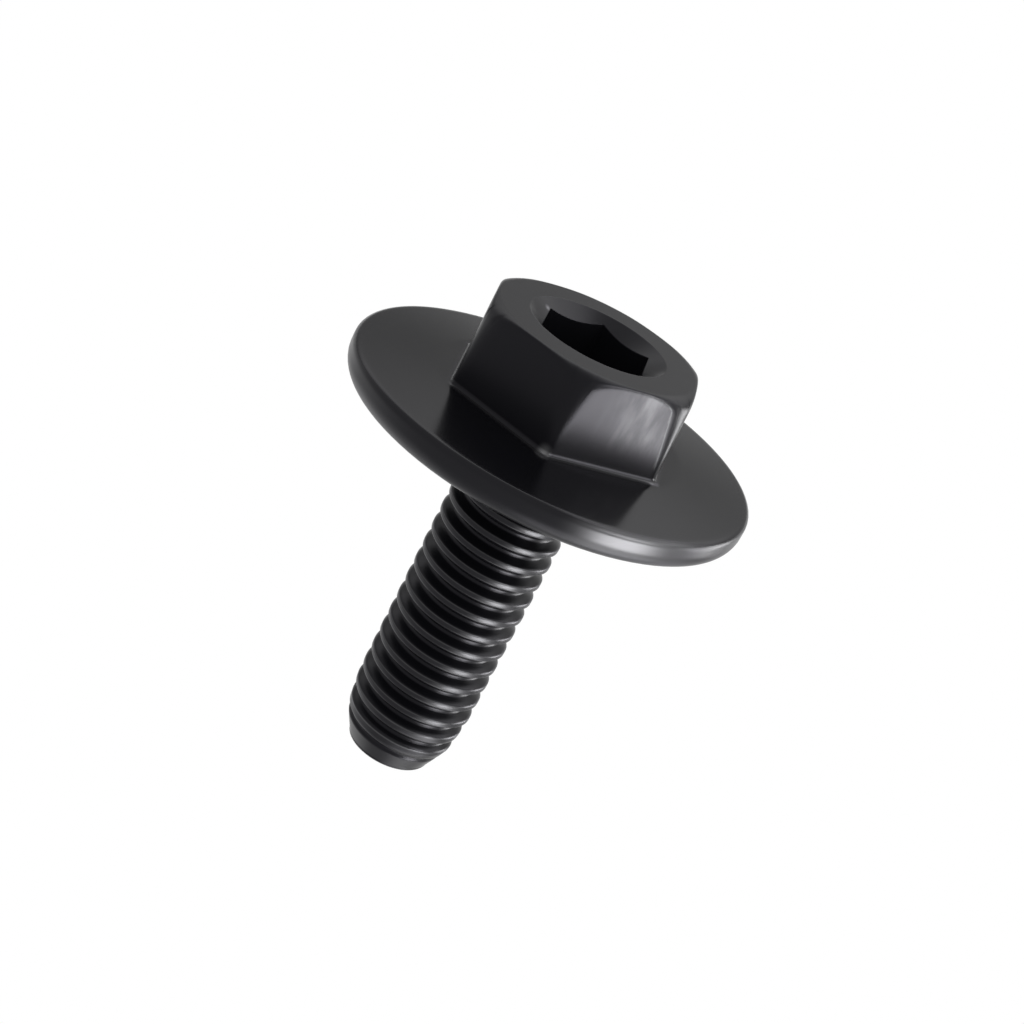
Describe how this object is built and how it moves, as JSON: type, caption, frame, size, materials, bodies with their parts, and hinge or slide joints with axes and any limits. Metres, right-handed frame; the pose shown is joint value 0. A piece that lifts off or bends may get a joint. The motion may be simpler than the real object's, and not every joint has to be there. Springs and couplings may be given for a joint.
{
  "type": "flange bolt",
  "caption": "Short metric bolt with a hexagon head, a key socket in its top, a wide round flange that spreads the clamping load, and a fully threaded shank with a tapered point.",
  "frame": {"origin": "centre of the bearing face, the flat underside of the flange, on the bolt's axis", "axes": "+Z along the shank, from the bearing face to the point, so the bolt stands on the top of its head; two corners of the hexagon lie on the Y axis"},
  "size_m": [0.0198, 0.0198, 0.0236],
  "materials": {
    "black_coated_steel": "satin black conversion coating on steel, darker in the thread's roots, slightly polished on crests and edges"
  },
  "bodies": {
    "root": {"flange_bolt": "black_coated_steel"}
  },
  "joints": []
}
